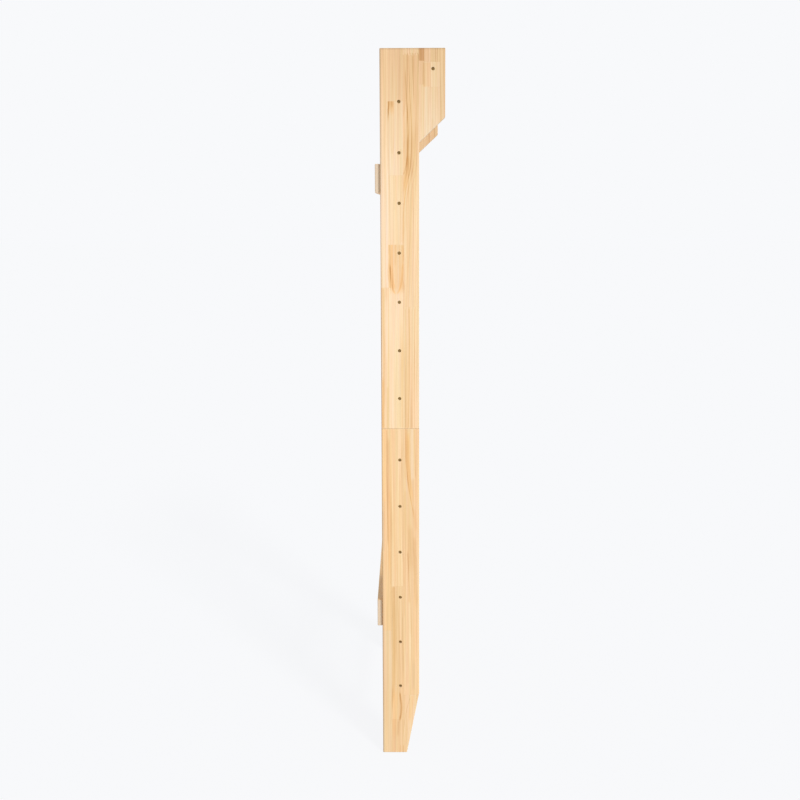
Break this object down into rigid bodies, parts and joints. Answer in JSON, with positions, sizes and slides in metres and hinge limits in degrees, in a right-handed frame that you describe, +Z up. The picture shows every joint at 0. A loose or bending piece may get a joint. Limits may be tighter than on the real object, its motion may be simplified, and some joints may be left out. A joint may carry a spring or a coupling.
{
  "type": "wall bars",
  "caption": "Tall wooden wall bars (gymnastic ladder): two-part laminated uprights with a forward overhang, oval rungs screwed in from the sides, and two wall boards.",
  "frame": {"origin": "on the floor, in the middle of the overall box", "axes": "+X along the rungs, to the right of somebody facing the wall; +Y from the climbing side to the wall; +Z up"},
  "size_m": [0.9, 0.212, 2.232],
  "materials": {
    "rail_pine": "finger-jointed laminated pine, clear satin varnish",
    "board_pine": "planed solid pine, clear matt varnish",
    "rung_beech": "steamed beech, clear satin varnish",
    "dowel_beech": "raw beech",
    "zinc_steel": "yellow-passivated zinc plating"
  },
  "bodies": {
    "root": {"left_lower_rail": "rail_pine", "left_upper_rail": "rail_pine", "right_lower_rail": "rail_pine", "right_upper_rail": "rail_pine", "rung_01": "rung_beech", "rung_02": "rung_beech", "rung_03": "rung_beech", "rung_04": "rung_beech", "rung_05": "rung_beech", "rung_06": "rung_beech", "rung_07": "rung_beech", "rung_08": "rung_beech", "rung_09": "rung_beech", "rung_10": "rung_beech", "rung_11": "rung_beech", "rung_12": "rung_beech", "rung_13": "rung_beech", "top_rung": "rung_beech", "lower_wall_board": "board_pine", "upper_wall_board": "board_pine", "left_rung_01_screw": "zinc_steel", "left_rung_02_screw": "zinc_steel", "left_rung_03_screw": "zinc_steel", "left_rung_04_screw": "zinc_steel", "left_rung_05_screw": "zinc_steel", "left_rung_06_screw": "zinc_steel", "left_rung_07_screw": "zinc_steel", "left_rung_08_screw": "zinc_steel", "left_rung_09_screw": "zinc_steel", "left_rung_10_screw": "zinc_steel", "left_rung_11_screw": "zinc_steel", "left_rung_12_screw": "zinc_steel", "left_rung_13_screw": "zinc_steel", "left_top_rung_screw": "zinc_steel", "right_rung_01_screw": "zinc_steel", "right_rung_02_screw": "zinc_steel", "right_rung_03_screw": "zinc_steel", "right_rung_04_screw": "zinc_steel", "right_rung_05_screw": "zinc_steel", "right_rung_06_screw": "zinc_steel", "right_rung_07_screw": "zinc_steel", "right_rung_08_screw": "zinc_steel", "right_rung_09_screw": "zinc_steel", "right_rung_10_screw": "zinc_steel", "right_rung_11_screw": "zinc_steel", "right_rung_12_screw": "zinc_steel", "right_rung_13_screw": "zinc_steel", "right_top_rung_screw": "zinc_steel", "lower_board_left_low_screw": "zinc_steel", "lower_board_left_high_screw": "zinc_steel", "lower_board_right_low_screw": "zinc_steel", "lower_board_right_high_screw": "zinc_steel", "upper_board_left_low_screw": "zinc_steel", "upper_board_left_high_screw": "zinc_steel", "upper_board_right_low_screw": "zinc_steel", "upper_board_right_high_screw": "zinc_steel", "left_back_dowel": "dowel_beech", "left_front_dowel": "dowel_beech", "right_back_dowel": "dowel_beech", "right_front_dowel": "dowel_beech"}
  },
  "joints": []
}
